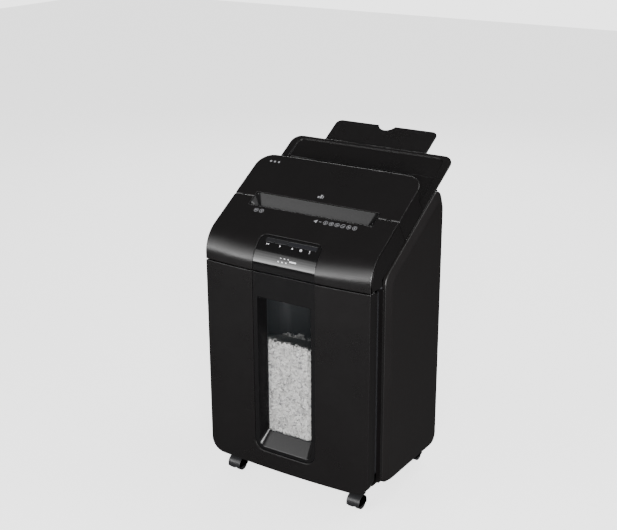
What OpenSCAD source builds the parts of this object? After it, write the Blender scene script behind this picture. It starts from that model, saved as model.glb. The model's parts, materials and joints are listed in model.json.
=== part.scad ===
// Auto-feed paper shredder: a cabinet on four casters with a pull-out bin,
// a cutter head driven by a small motor, a hand-feed slot and a lidded tray
// that takes a stack of paper. Every length is in millimetres.
// Unless a comment says otherwise, y is measured back from the front plane
// of the bin panel and z up from the floor; place() then centres the object.

/* [Body] */
// Width of the proud front and top shell
shell_w = 350; // [344:1:352]
// Width over the two casing sides
case_w = 364; // [362:1:368]
// Height of the bin panel's lower edge above the floor
body_bottom = 45; // [44:1:46]
// Height of the joint between the bin panel and the head
seam_z = 436; // [435:1:437]
// Slope of the top, in degrees
slope = 31.7; // [31.2:0.1:32.2]
// Height where the slope's plane meets the front plane
corner_z = 481; // [480:1:482]
// Radius of the bull nose between front and top
nose_r = 60; // [56:1:62]
// How far the front is crowned at its middle
crown = 8; // [6:1:9]
// Depth from the front plane to the back of the casing
case_depth = 250; // [249:1:256]
// How far the casing's front edge is set back
case_setback = 48; // [47:1:50]

/* [Top] */
// Distance from the front plane to the lid's front seam
seam_y = 94; // [93.5:0.5:94.5]
// Length of the lid along the slope
lid_len = 110; // [106:1:112]
// Radius of the lid's rear corners
lid_corner_r = 32; // [20:1:36]
// Depth of the tray's rim below the lid's face
tray_drop = 48; // [48:0.5:49]
// Length of the tray along the slope, from the lid's seam
tray_len = 213; // [208:1:215]
// How far the paper support is drawn out past the tray
support_out = 64; // [40:1:66]

/* [Bin] */
// Height of the bin tub's mouth
tub_top = 425; // [410:1:426]
// Height of the heap of shreds
heap_top = 292; // [120:1:330]
// Width of the window column
column_w = 134; // [130:1:136]

/* [Cutter] */
// Height of the cutter axes
cutter_z = 466; // [465.5:0.5:466.5]
// Number of cutting discs on each drum
discs = 51; // [31:2:51]

/* [Casters] */
// Wheel radius
wheel_r = 13; // [12.5:0.5:14]
// Distance from swivel axis to wheel axis
caster_trail = 16; // [15:1:17]

/* [Hidden] */
$fn = 64;

black = "#17161a";
satin = "#242226";
gloss = "#0b0b0d";
steel = "silver";

shell_x = shell_w / 2;
case_x = case_w / 2;
wall = 3;
gap = 0.4;

// The whole object runs from the crowned front to the end of the support.
support_n = -57;
rear_y = seam_y + (tray_len + support_out) * cos(slope) - (support_n - 1.2) * sin(slope);
centre_y = (rear_y - crown) / 2;

// ---- helpers -------------------------------------------------------------

module place() translate([0, -centre_y, 0]) children();

// A drawing in the (y, z) plane, pulled across from x0 to x1.
module span(x0, x1) translate([x0, 0, 0]) rotate([90, 0, 90])
    linear_extrude(x1 - x0) children();

// A round bar along x, centred on (y, z).
module rod(r, p, x0, x1) translate([x0, p[0], p[1]]) rotate([0, 90, 0])
    cylinder(r = r, h = x1 - x0);

// A block given by its lowest and highest corners.
module block(a, b) translate(a) cube(b - a);

// The same thing on both sides of the middle.
module both() { children(); mirror([1, 0, 0]) children(); }

// Local x across, y up the slope, z out of it; the origin is on the lid's seam.
module on_slope() translate([0, seam_y, corner_z + seam_y * tan(slope)])
    rotate([slope, 0, 0]) children();

// The (y, z) place of a point that is u up the slope and n out of it.
function at_slope(u, n) = [
    seam_y + u * cos(slope) - n * sin(slope),
    corner_z + seam_y * tan(slope) + u * sin(slope) + n * cos(slope)
];

function unit(v) = v / norm(v);

// A corner b between a and c, rounded with radius r in steps arcs.
function fillet(a, b, c, r, steps) = r <= 0 ? [b] :
    let (u = unit(a - b), v = unit(c - b), half = acos(u * v) / 2,
         m = b + unit(u + v) * r / sin(half),
         s = b + u * r / tan(half) - m, e = b + v * r / tan(half) - m,
         a0 = atan2(s[1], s[0]), turn = atan2(s[0] * e[1] - s[1] * e[0], s * e))
    [for (k = [0:steps]) m + r * [cos(a0 + turn * k / steps), sin(a0 + turn * k / steps)]];

// A closed outline from [x, y, radius] corners.
function rounded(corners, steps = 8) =
    let (p = [for (c = corners) [c[0], c[1]]], n = len(p))
    [for (i = [0:n - 1]) each fillet(p[(i + n - 1) % n], p[i], p[(i + 1) % n],
                                     corners[i][2], steps)];

// A rectangle from (x0, y0) to (x1, y1) with lower and upper corner radii.
function slab(x0, y0, x1, y1, r_low, r_high) =
    rounded([[x0, y0, r_low], [x1, y0, r_low], [x1, y1, r_high], [x0, y1, r_high]]);

// ---- casing --------------------------------------------------------------

back_face = case_depth - 1.5;
case_drop = 60;      // height from the slope's plane down to the casing's edge
case_bottom = 50;
bevel = 16;          // width of the casing's front and top bevel
bevel_x = 5;         // how far the bevel falls inwards
rim_x = 170;         // inner edge of the casing sides

function case_z(y) = corner_z + y * tan(slope) - case_drop;

// Side outline; d sets the front and sloping edges back, e the other two.
function case_outline(d, e) =
    let (f = case_setback + d, b = case_depth - e, lower = d / cos(slope))
    rounded([[f, case_bottom + e, 14], [b, case_bottom + e, 20],
             [b, case_z(b) - lower, 18], [f, case_z(f) - lower, 26]]);

module side_panel() color(satin) {
    difference() {
        hull() {
            span(rim_x, case_x - bevel_x) polygon(case_outline(0, 0));
            span(case_x - 0.2, case_x) polygon(case_outline(bevel, 1.5));
        }
        hull() {
            span(rim_x - 1, case_x - bevel_x - wall) polygon(case_outline(wall, wall));
            span(case_x - wall - 0.2, case_x - wall) polygon(case_outline(bevel + 1, 4));
        }
    }
    // Ledge that carries the head chassis.
    block([159, 62, seam_z - 10], [case_x - wall + 0.5, back_face - 6, seam_z - 5.2]);
}

module left_side_panel() mirror([1, 0, 0]) side_panel();
module right_side_panel() side_panel();

pan_top = 54;

// Arch around the bin's opening, in the step between front shell and casing.
module front_frame() color(black)
    translate([0, case_setback - gap, 0]) rotate([90, 0, 0]) linear_extrude(7)
        difference() {
            polygon(slab(-case_x + bevel_x, pan_top + 5, case_x - bevel_x, deck_low, 8, 2));
            polygon(slab(-168, pan_top - 10, 168, tub_top + 3, 0, 2));
        }

swivels = [
    [-135, 44.5], [135, 44.5], [-135, case_depth - 19], [135, case_depth - 19]
];
stem_r = 4;
stem_top = 57;

module base_pan() color(black) difference() {
    union() {
        block([-169.5, 49, case_bottom + 0.2], [169.5, back_face - 4.5, pan_top]);
        block([-166, 32, case_bottom + 0.2], [166, 49.5, pan_top]);
        for (s = swivels) translate([s[0], s[1], 46.4]) cylinder(r = 13, h = 12.4);
    }
    for (s = swivels) translate([s[0], s[1], 45]) cylinder(r = stem_r + 0.06, h = 12.8);
}

rail_x = 100;

module bin_rails() color(satin) both()
    block([rail_x, 52, pan_top], [rail_x + 16, back_face - 10, pan_top + 6]);

switch_at = [-118, 478];
gland_at = [-72, 478];
vent_rows = 7;

module back_panel() color(satin) difference() {
    block([-169.6, back_face - 4, case_bottom + 1], [169.6, back_face, 560]);
    // Vents behind the motor.
    for (i = [0:vent_rows - 1]) translate([-10, back_face - 6, 462 + i * 9]) {
        block([0, 0, 0], [130, 8, 4]);
        for (x = [0, 130]) translate([x, 0, 2]) rotate([-90, 0, 0]) cylinder(r = 2, h = 8);
    }
    translate([switch_at[0], back_face, switch_at[1]]) block([-14, -6, -9.5], [14, 2, 9.5]);
    translate([gland_at[0], back_face - 6, gland_at[1]]) rotate([-90, 0, 0])
        cylinder(r = 8, h = 8);
}

// ---- head: chassis and cover ---------------------------------------------

deck_top = seam_z - 1.5;
deck_low = deck_top - 3.5;

module head_chassis() color(satin) {
    difference() {
        block([-169.4, 46.5, deck_low], [169.4, back_face - 4.5, deck_top]);
        block([-114, 60, deck_low - 1], [114, 131, deck_top + 1]);
    }
    // Step up to the front lip that carries the cover and the console.
    block([-166, 46.5, deck_low], [166, 49.8, seam_z + 3]);
    block([-166, 3.4, seam_z + 0.4], [166, 47, seam_z + 3]);
    // Saddle under the motor.
    for (x = [-92, -8]) difference() {
        block([x - 6, motor_at[0] - 26, deck_top - 0.5], [x + 6, motor_at[0] + 26, 456]);
        rod(motor_r + 0.15, motor_at, x - 8, x + 8);
    }
}

throat_u0 = -19;      // front edge of the hand-feed bezel, along the slope
throat_u1 = 12;       // its rear edge
throat_x = 131.5;
console_w = 132;

// Height of the nose's start and its tangent length.
nose_turn = 90 - slope;
nose_tan = nose_r * tan(nose_turn / 2);
nose_z = corner_z - nose_tan;

// How much of the crown a point of the front profile has.
function crowned(z) = let (t = min(1, max(0, (z - nose_z) / (nose_tan * (1 + sin(slope))))))
    1 - t * t * (3 - 2 * t);

// Profile of the head from the seam round the nose and up the slope, moved in by d.
function nose_profile(d) = concat(
    [[d, seam_z + 1]],
    [for (k = [0:10]) let (a = 180 - nose_turn * k / 10)
        [nose_r, nose_z] + (nose_r - d) * [cos(a), sin(a)]],
    [at_slope(-0.2 - 0.6 * d, -d)]
);

// The same profile pushed forward by the crown at station x.
function station(x, profile) = [for (p = profile)
    [x, p[0] - crown * (1 - pow(x / shell_x, 2)) * crowned(p[1]), p[1]]];

function reversed(list) = [for (i = [len(list) - 1:-1:0]) list[i]];

// A skin through a row of closed loops; each loop runs out along one face and
// back along the other, so its ends are closed by a strip of triangles.
module loft_skin(loops) {
    m = len(loops[0]);
    last = (len(loops) - 1) * m;
    strip = [for (j = [0:m / 2 - 2]) each [[j, m - 1 - j, j + 1], [j + 1, m - 1 - j, m - 2 - j]]];
    polyhedron(
        points = [for (l = loops) each l],
        faces = concat(
            strip,
            [for (i = [0:len(loops) - 2], j = [0:m - 1])
                let (a = i * m + j, b = i * m + (j + 1) % m)
                each [[a, b, b + m], [a, b + m, a + m]]],
            [for (f = strip) [last + f[0], last + f[2], last + f[1]]]
        ),
        convexity = 6
    );
}

cover_steps = 12;
cheek_y = case_setback - 8;
cheek_z = corner_z + cheek_y * tan(slope) - case_drop + 5;

module cover_skin() loft_skin([for (i = [0:cover_steps])
    station(-shell_x + shell_w * i / cover_steps,
            concat(nose_profile(0), reversed(nose_profile(wall))))]);

// Flat ends of the cover, down to the tray's rim and back to the casing.
module cover_cheek() span(shell_x - wall, shell_x - 0.1) polygon(concat(
    nose_profile(wall / 2),
    [at_slope(-0.3, -wall - 1), at_slope(-0.3, -tray_drop + 0.6),
     [cheek_y, cheek_z], [cheek_y, seam_z + 1.5]]
));

module head_cover() color(black) difference() {
    union() {
        cover_skin();
        both() cover_cheek();
    }
    // Opening for the hand-feed bezel.
    on_slope() block([-throat_x - gap, throat_u0 - gap, -12], [throat_x + gap, 2, 6]);
    console_cut(0);
}

// ---- console -------------------------------------------------------------

// The console follows the nose, set back a little, and is cut off square to the
// chord between its lower and upper edges.
console_inset = 1.2;
console_t = 2.4;
console_low = [-6.8, 452];
console_top = [26, 497];
console_tilt = atan2(console_top[1] - console_low[1], console_top[0] - console_low[0]);
console_len = norm(console_top - console_low);

// Local y up the console's chord, z out of it; the origin is its lower edge.
module on_console() translate([0, console_low[0], console_low[1]])
    rotate([console_tilt, 0, 0]) children();

// The console's outline, made bigger by d, pulled through the nose.
module console_cut(d) on_console() translate([0, 0, -22]) linear_extrude(46)
    polygon(slab(-console_w / 2 - d, -30, console_w / 2 + d, console_len + d, 0, 13 + d));

// The cover's profile where the console's edges are.
function console_profile(d) = [for (p = station(console_w / 2, nose_profile(d))) [p[1], p[2]]];

// Local frame of the button row: x across, y up the surface, z out of it.
bar_a = 134;
bar_z = nose_z + (nose_r - console_inset) * sin(bar_a);
bar_y = nose_r + (nose_r - console_inset) * cos(bar_a)
    - crown * (1 - pow(console_w / 2 / shell_x, 2)) * crowned(bar_z);
module on_bar() translate([0, bar_y, bar_z]) rotate([bar_a - 90, 0, 0]) children();

bar_h = 8;             // height of the buttons and of the indicator window
reverse_x = [-51.5, -32.5];
start_x = [-31.5, -5.5];
lens_x = [-3.5, 56];

// A bar in the button row, d bigger all round, between two heights.
module bar_piece(x, d, z0, z1) translate([0, 0, z0]) linear_extrude(z1 - z0)
    polygon(slab(x[0] - d, -bar_h / 2 - d, x[1] + d, bar_h / 2 + d, 1.5, 1.5));

module console_fascia() color(gloss) {
    difference() {
        intersection() {
            span(-console_w / 2, console_w / 2) polygon(concat(
                console_profile(console_inset), reversed(console_profile(console_inset + console_t))));
            console_cut(-gap);
        }
        on_bar() {
            bar_piece(reverse_x, 0.3, -6, 3);
            bar_piece(start_x, 0.3, -6, 3);
            bar_piece(lens_x, 0, -6, 3);
        }
    }
    // Posts that carry the control board.
    on_bar() for (x = [-57, 60]) translate([x, 0, -10]) cylinder(r = 2.5, h = 8.5);
}

module indicator_lens() color("#202024") on_bar() bar_piece(lens_x, -0.1, -2.6, -0.5);

module push_button(x) color("#1b1b1f") on_bar() {
    bar_piece(x, 0, -3.6, 0.9);
    translate([(x[0] + x[1]) / 2, 0, -5.4]) cylinder(r = 1.6, h = 2.2);
}

module reverse_button() push_button(reverse_x);
module start_button() push_button(start_x);

module control_board() color("#1f5a37") on_bar() {
    block([-60, -14, -11.6], [63, 7, -10]);
    for (x = [reverse_x, start_x]) translate([(x[0] + x[1]) / 2, 0, -10.1])
        cylinder(r = 3, h = 3);
    for (x = [8, 26, 44]) translate([x, 0, -10.1]) cylinder(r = 1.5, h = 5);
}

// ---- hand-feed throat ----------------------------------------------------

slot_u0 = -16;
slot_u1 = -9.5;
slot_x = 116;

module feed_throat() color(gloss) on_slope() difference() {
    block([-throat_x, throat_u0, -24], [throat_x, throat_u1, -0.3]);
    hull() {
        translate([0, 0, -0.5]) linear_extrude(0.6)
            polygon(slab(-throat_x + 1.5, throat_u0 + 1, throat_x - 1.5, throat_u1 - 1, 7, 9));
        translate([0, 0, -13.2]) linear_extrude(0.2)
            polygon(slab(-slot_x, slot_u0, slot_x, slot_u1, 1, 3));
    }
    block([-slot_x, slot_u0, -30], [slot_x, slot_u1, -12]);
}

nip_y = 95;
drum_gap = 30;
front_drum = [nip_y - drum_gap / 2, cutter_z];
rear_drum = [nip_y + drum_gap / 2, cutter_z];
disc_r = 17;
core_r = 12.4;
disc_t = 2;
disc_pitch = 4.6;
plate_x = 119;

module paper_guides() color(steel) {
    block([-plate_x + 0.3, 88, 486], [plate_x - 0.3, 89.2, 508]);
    block([-plate_x + 0.3, 104.5, 488], [plate_x - 0.3, 105.7, 507]);
    span(-112, 112) polygon([[107, 484.5], [121.5, 492.9], [120.9, 494], [106.4, 485.6]]);
}

// ---- cutter block --------------------------------------------------------

foot_t = 2;

module cutter_side_plates() color(steel) both() difference() {
    union() {
        span(plate_x, plate_x + 3) polygon(slab(50, deck_top, 140, 488, 0, 6));
        block([plate_x + 2.5, 50, deck_top], [plate_x + 13, 140, deck_top + foot_t]);
    }
    for (d = [front_drum, rear_drum]) rod(9, d, plate_x - 1, plate_x + 5);
}

module cutter_bushes() color("#b08d57") both() for (d = [front_drum, rear_drum])
    difference() {
        rod(9, d, plate_x - 1, plate_x + 3.6);
        rod(6.05, d, plate_x - 2, plate_x + 5);
    }

rod_places = [[55, 445], [55, 482], [135, 445], [135, 482]];

module tie_rods() color(steel) for (p = rod_places) rod(3.5, p, -plate_x, plate_x);

// One comb: a bar with a finger in every gap between the drum's discs.
module comb(bar_y, tip_y, first_x) {
    n = discs - 1;
    pts = concat(
        [[-plate_x + 0.2, bar_y]],
        [for (i = [0:n - 1]) let (x = first_x + i * disc_pitch, t = 0.8, d = sign(tip_y - bar_y))
            each [[x - t, bar_y + 5 * d], [x - t, tip_y], [x + t, tip_y], [x + t, bar_y + 5 * d]]],
        [[plate_x - 0.2, bar_y + 5 * sign(tip_y - bar_y)], [plate_x - 0.2, bar_y]]
    );
    first = [-plate_x + 0.2, bar_y + 5 * sign(tip_y - bar_y)];
    translate([0, 0, cutter_z - 4]) linear_extrude(8) polygon(concat([pts[0], first],
        [for (i = [1:len(pts) - 1]) pts[i]]));
}

drum_x0 = -disc_pitch * (discs - 1) / 2;

module stripper_combs() color("#3a3a40") {
    comb(52, front_drum[0] - core_r - 0.8, drum_x0 - disc_pitch / 4 + disc_pitch / 2);
    comb(138, rear_drum[0] + core_r + 0.8, drum_x0 + disc_pitch / 4 + disc_pitch / 2);
}

// A drum: core with thin discs, turned from one profile. shift places its discs.
module drum(at, shift, left_end, right_end) {
    pts = concat(
        [[0, left_end], [6, left_end], [6, -plate_x + 1.5], [core_r, -plate_x + 1.5]],
        [for (i = [0:discs - 1]) let (x = drum_x0 + shift + i * disc_pitch)
            each [[core_r, x - disc_t / 2], [disc_r, x - disc_t / 2],
                  [disc_r, x + disc_t / 2], [core_r, x + disc_t / 2]]],
        [[core_r, plate_x - 1.5], [6, plate_x - 1.5], [6, right_end], [0, right_end]]
    );
    translate([0, at[0], at[1]]) rotate([0, 90, 0]) rotate_extrude() polygon(pts);
}

module rear_cutter_drum() color("#8f9196") drum(rear_drum, disc_pitch / 4, -146.5, 136.5);
module front_cutter_drum() color("#8f9196") drum(front_drum, -disc_pitch / 4, -135.5, 123.5);

// ---- gears ---------------------------------------------------------------

function inv_angle(r, base) = let (t = sqrt(max(0, pow(r / base, 2) - 1)))
    t * 180 / PI - atan(t);

// Involute gear outline with n teeth of module m, one tooth at angle a0.
function gear(n, m, a0, addendum = 0.75, slack = 0.16) =
    let (rp = m * n / 2, base = rp * cos(20), tip = rp + addendum * m,
         root = rp - 1.1 * m, low = max(base, root + 0.05),
         half = 90 / n - slack * 180 / PI / rp)
    [for (i = [0:n - 1]) let (c = a0 + i * 360 / n)
        each concat(
            [root * [cos(c - half - inv_angle(rp, base)), sin(c - half - inv_angle(rp, base))]],
            [for (k = [0:4]) let (r = low + (tip - low) * k / 4,
                 h = half + inv_angle(rp, base) - inv_angle(r, base))
                r * [cos(c - h), sin(c - h)]],
            [for (k = [4:-1:0]) let (r = low + (tip - low) * k / 4,
                 h = half + inv_angle(rp, base) - inv_angle(r, base))
                r * [cos(c + h), sin(c + h)]],
            [root * [cos(c + half + inv_angle(rp, base)), sin(c + half + inv_angle(rp, base))]]
        )];

module gear_wheel(at, n, m, a0, x0, x1, bore) difference() {
    span(x0, x1) translate(at) polygon(gear(n, m, a0));
    rod(bore, at, x0 - 1, x1 + 1);
}

// First angle of a gear with nb teeth that meshes with one of na teeth at a0,
// whose centre lies in direction phi from it.
function mesh_angle(a0, na, nb, phi) = phi + 180 - ((a0 - phi) * na + 180) / nb;

function heading(p, q) = atan2(q[1] - p[1], q[0] - p[0]);

// The point at distance a from p and b from q, to the right of the way p to q.
function third_point(p, q, a, b) =
    let (c = norm(q - p), t = (a * a + c * c - b * b) / (2 * c),
         h = sqrt(max(0, a * a - t * t)), u = (q - p) / c)
    p + t * u + h * [u[1], -u[0]];

sync_n = 15;
sync_m = 2;
train_m = 1.25;
big_n = 42;
small_n = 16;
fast_m = 1;
fast_n = 50;
pinion_n = 12;
motor_at = [176, 464];
motor_r = 24;
reduction_at = third_point(motor_at, rear_drum, fast_m * (fast_n + pinion_n) / 2,
                           train_m * (big_n + small_n) / 2);

feed_n = 14;
take_n = 20;
idler_n = 40;
roller_r = 16;
roller_u = 40;
feed_at = at_slope(roller_u, -tray_drop - 4 + 1.5 - roller_r);
idler_at = third_point(rear_drum, feed_at, train_m * (take_n + idler_n) / 2,
                       train_m * (idler_n + feed_n) / 2);

rear_sync_a = 0;
front_sync_a = mesh_angle(rear_sync_a, sync_n, sync_n, 180);
big_a = 0;
small_a = mesh_angle(big_a, big_n, small_n, heading(rear_drum, reduction_at));
fast_a = 0;
pinion_a = mesh_angle(fast_a, fast_n, pinion_n, heading(reduction_at, motor_at));
take_a = 0;
idler_a = mesh_angle(take_a, take_n, idler_n, heading(rear_drum, idler_at));
feed_a = mesh_angle(idler_a, idler_n, feed_n, heading(idler_at, feed_at));

module rear_drum_gears() color("#6f7278") {
    gear_wheel(rear_drum, sync_n, sync_m, rear_sync_a, -134, -126, 6);
    gear_wheel(rear_drum, big_n, train_m, big_a, -145, -138, 6);
    gear_wheel(rear_drum, take_n, train_m, take_a, 127, 135, 6);
}

module front_drum_gear() color("#6f7278")
    gear_wheel(front_drum, sync_n, sync_m, front_sync_a, -134, -126, 6);

pin_r = 3;

module reduction_gear() color("#d8d4c4") difference() {
    union() {
        span(-146, -137) translate(reduction_at) polygon(gear(small_n, train_m, small_a));
        rod(6.5, reduction_at, -148.5, -145.5);
        span(-156, -148) translate(reduction_at) polygon(gear(fast_n, fast_m, fast_a));
    }
    rod(pin_r + 0.05, reduction_at, -160, -130);
}

rotor_r = 15;

// The motor's shaft with its laminated core and pinion.
module motor_shaft() color(steel) union() {
    rod(2.5, motor_at, -148, 4);
    rod(rotor_r, motor_at, -84, -10);
    span(-157, -147.5) translate(motor_at) polygon(gear(pinion_n, fast_m, pinion_a));
}

module feed_idler_gear() color("#d8d4c4") {
    gear_wheel(idler_at, idler_n, train_m, idler_a, 127.3, 134.7, pin_r + 0.05);
}

// Fixed pins that the loose gears turn on, with the posts that hold them.
module gear_pins() color(steel) {
    rod(pin_r, reduction_at, -161, -130);
    difference() {
        block([-165, reduction_at[0] - 8, deck_top], [-160.5, reduction_at[0] + 8, reduction_at[1] + 8]);
        rod(pin_r, reduction_at, -170, -150);
    }
    rod(pin_r, idler_at, 124, 141);
    difference() {
        block([138, idler_at[0] - 8, deck_top], [142, idler_at[0] + 8, idler_at[1] + 8]);
        rod(pin_r, idler_at, 130, 150);
    }
}

module motor_housing() color("#5c5f66") difference() {
    union() {
        rod(motor_r, motor_at, -104, 6);
        rod(motor_r - 6, motor_at, -112, 14);
        rod(8, motor_at, -116, -104);
    }
    rod(2.56, motor_at, -120, 6);
    rod(rotor_r + 1.5, motor_at, -90, -4);
}

module run_capacitor() color("#c9c6bd") rod(15, [222, 452], -70, -16);

module power_board() color("#1f5a37") {
    block([28, 178, deck_top + 6], [112, 238, deck_top + 7.6]);
    block([34, 186, deck_top + 7.5], [70, 214, deck_top + 34]);
    for (x = [33, 107], y = [183, 233]) translate([x, y, deck_top]) cylinder(r = 3, h = 6.1);
    translate([92, 212, deck_top + 7.5]) cylinder(r = 9, h = 24);
}

// ---- auto-feed -----------------------------------------------------------

module feed_shaft() color(steel) difference() {
    union() {
        rod(4, feed_at, -112, 127.5);
        span(127.3, 134.7) translate(feed_at) polygon(gear(feed_n, train_m, feed_a));
    }
}

roller_x = 45;
roller_w = 26;

module feed_rollers() color("#3c3f45") both() difference() {
    rod(roller_r, feed_at, roller_x - roller_w / 2, roller_x + roller_w / 2);
    rod(4, feed_at, roller_x - roller_w, roller_x + roller_w);
}

module feed_shaft_bearings() color(satin) for (x = [-108, 92]) difference() {
    union() {
        rod(8, feed_at, x, x + 6);
        block([x, feed_at[0] - 8, deck_top], [x + 6, feed_at[0] + 8, feed_at[1]]);
    }
    rod(4.05, feed_at, x - 1, x + 7);
    rod(motor_r + 1.5, motor_at, x - 1, x + 7);
}

tray_floor = -tray_drop - 4;
tray_x = case_x - 6;
support_x = 112;

module paper_tray() color(black) on_slope() difference() {
    union() {
        translate([0, 0, -tray_drop - 2.8]) linear_extrude(2.8)
            polygon(slab(-tray_x, 3, tray_x, tray_len, 2, 20));
        translate([0, 0, tray_floor - 3]) linear_extrude(6)
            polygon(slab(-166, 1, 166, tray_len - 2, 2, 18));
        // Channels under the floor that carry the support.
        both() block([support_x + 0.4, 120, support_n - 4], [support_x + 5, tray_len - 4, tray_floor]);
        both() block([support_x - 4, 120, support_n - 4], [support_x + 5, tray_len - 4, support_n - 1.6]);
    }
    translate([0, 0, tray_floor]) linear_extrude(10)
        polygon(slab(-160, -5, 160, 158, 0, 4));
    translate([0, 0, tray_floor + 1.4]) linear_extrude(10)
        polygon(slab(-160, 150, 160, tray_len - 7, 0, 14));
    // Windows for the feed rollers.
    both() block([roller_x - roller_w / 2 - 2, roller_u - 12, -80],
                 [roller_x + roller_w / 2 + 2, roller_u + 12, -40]);
}

module paper_support() color(black) on_slope() translate([0, 0, support_n - 1.2]) {
    difference() {
        linear_extrude(2.4)
            polygon(slab(-support_x, tray_len - 24, support_x, tray_len + support_out, 1, 12));
        // Finger notch at the free end.
        translate([0, tray_len + support_out + 8, -1]) cylinder(r = 20, h = 5);
    }
}

// ---- lid -----------------------------------------------------------------

hinge_u = 5.4;
hinge_n = -5;
hinge_at = at_slope(hinge_u, hinge_n);
hinge_r = 2;
lid_wall_end = 72;

// The lid's front edge is an arc about its hinge, so it turns without rubbing.
function lid_edge(low) = concat([[hinge_u + hinge_n, low]],
    [for (a = [180:-10:90]) [hinge_u, hinge_n] - hinge_n * [cos(a), sin(a)]]);

module lid_shell() color(black) on_slope() difference() {
    union() {
        intersection() {
            span(-shell_x, shell_x) polygon(concat(lid_edge(-6.5),
                [[lid_len, 0], [lid_len, -4], [5, -4], [4, -6.5]]));
            translate([0, 0, -8]) linear_extrude(9)
                polygon(slab(-shell_x, 0, shell_x, lid_len, 0, lid_corner_r));
        }
        both() span(shell_x - wall, shell_x) polygon(concat(lid_edge(-tray_drop + 1.2), [
            [lid_wall_end + 8, 0], [lid_wall_end + 8, -4],
            [lid_wall_end - 1, -20], [lid_wall_end + 2, -tray_drop + 1.2]
        ]));
        // Hinge ears.
        both() hull() {
            rod(3.6, [hinge_u, hinge_n], 158, 165);
            block([158, 3.5, -4], [165, 20, -3.5]);
        }
        // Guide sleeves for the pressure plate.
        both() translate([40, roller_u, -24]) cylinder(r = 5, h = 21);
    }
    rod(norm([throat_u1 - hinge_u, hinge_n]) + gap, [hinge_u, hinge_n],
        -throat_x - gap, throat_x + gap);
    both() rod(hinge_r + 0.05, [hinge_u, hinge_n], 150, 170);
    // Room for the hinge brackets.
    both() block([148.5, 1.5, -12], [157.4, 16, -1.3]);
    both() block([148.5, -1, -12], [157.4, 16, hinge_n]);
    both() translate([40, roller_u, -26]) cylinder(r = 2.6, h = 20);
}

module lid_hinge_brackets() color(steel) both() difference() {
    union() {
        rod(3.2, hinge_at, 150, 156);
        block([150, hinge_at[0] + 0.8, deck_top], [156, hinge_at[0] + 7, hinge_at[1]]);
    }
    rod(hinge_r, hinge_at, 140, 170);
}

module lid_hinge_pins() color(steel) both() rod(hinge_r, hinge_at, 149, 166);

plate_n = -49.2;

module pressure_plate() color(satin) on_slope() {
    translate([0, 0, plate_n]) linear_extrude(2)
        polygon(slab(-66, roller_u - 16, 66, roller_u + 18, 4, 4));
    both() translate([40, roller_u, plate_n + 1]) cylinder(r = 2.3, h = 30);
}

// Coil springs, each drawn as the sleeve that its turns fill.
module pressure_springs() color(steel) both() on_slope()
    translate([40, roller_u, plate_n + 2.1]) difference() {
        cylinder(r = 4.6, h = 22.9);
        translate([0, 0, -1]) cylinder(r = 3.4, h = 26);
    }

// ---- electrics on the back and inside ------------------------------------

module power_switch_housing() color(black)
    translate([switch_at[0], back_face, switch_at[1]]) difference() {
        union() {
            block([-13.6, -20, -9.1], [13.6, 0.5, 9.1]);
            block([-16.5, 0.2, -12], [16.5, 1.7, 12]);
        }
        difference() {
            block([-11.5, -12, -6.6], [11.5, 6, 6.6]);
            rod(1.45, [rocker_at[0] - back_face, 0], -12, 12);
        }
    }

rocker_at = [back_face + 0.5, switch_at[1]];

module power_rocker() color("#0b0b0d") difference() {
    span(switch_at[0] - 10.8, switch_at[0] + 10.8) translate(rocker_at) polygon([
        [-6, -3], [0.6, -5.9], [2.2, 0], [2.8, 5.9], [-6, 3]
    ]);
    rod(1.5, rocker_at, switch_at[0] - 20, switch_at[0] + 20);
}

cord_r = 3.6;

module cord_gland() color(black)
    translate([gland_at[0], back_face, gland_at[1]]) rotate([-90, 0, 0])
    difference() {
        union() {
            translate([0, 0, -16]) cylinder(r = 7.9, h = 17);
            translate([0, 0, -9.3]) cylinder(r = 10.5, h = 5.2);
            translate([0, 0, 0.2]) cylinder(r = 10.5, h = 3);
        }
        translate([0, 0, -20]) cylinder(r = cord_r, h = 40);
    }

module interlock_switches() color("#26262a") {
    block([-158, 26, deck_low - 2], [-138, 34, deck_low + 0.4]);
    block([-169, 108, 468], [-162.5, 128, 480]);
}

module screw(at, axis, length) translate(at) rotate(axis) {
    cylinder(r = 3.4, h = 2);
    translate([0, 0, -length]) cylinder(r = 1.7, h = length + 0.1);
}

module cabinet_screws() color(steel) {
    for (x = [-160, 160], z = [70, 300, 545]) screw([x, back_face + 0.1, z], [-90, 0, 0], 3.9);
    for (x = [-127, 127], y = [56, 134]) screw([x, y, deck_top + foot_t], [0, 0, 0], 4.5);
}

// ---- bin -----------------------------------------------------------------

crown_r = (pow(shell_x, 2) + crown * crown) / (2 * crown);
panel_back = 17;
panel_corner = 27;
column_low = 80;
column_corner = 22;

module crowned_block(inset, r_inset, y1) intersection() {
    translate([0, y1, 0]) rotate([90, 0, 0]) linear_extrude(y1 + crown + 2)
        polygon(slab(-shell_x + inset, body_bottom + inset, shell_x - inset,
                     seam_z - 1 - inset, panel_corner - inset, 1.5));
    translate([0, crown_r - crown, body_bottom - 5])
        cylinder(r = crown_r - r_inset, h = 500, $fn = 256);
}

neck_x = 171;
neck_back = 30;
boss_at = [for (x = [-120, 120], z = [100, 390]) [x, z]];

// Draws a front-view outline as a slab from y1 back to y2.
module facing(y1, y2) translate([0, y2, 0]) rotate([90, 0, 0]) linear_extrude(y2 - y1) children();

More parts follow.
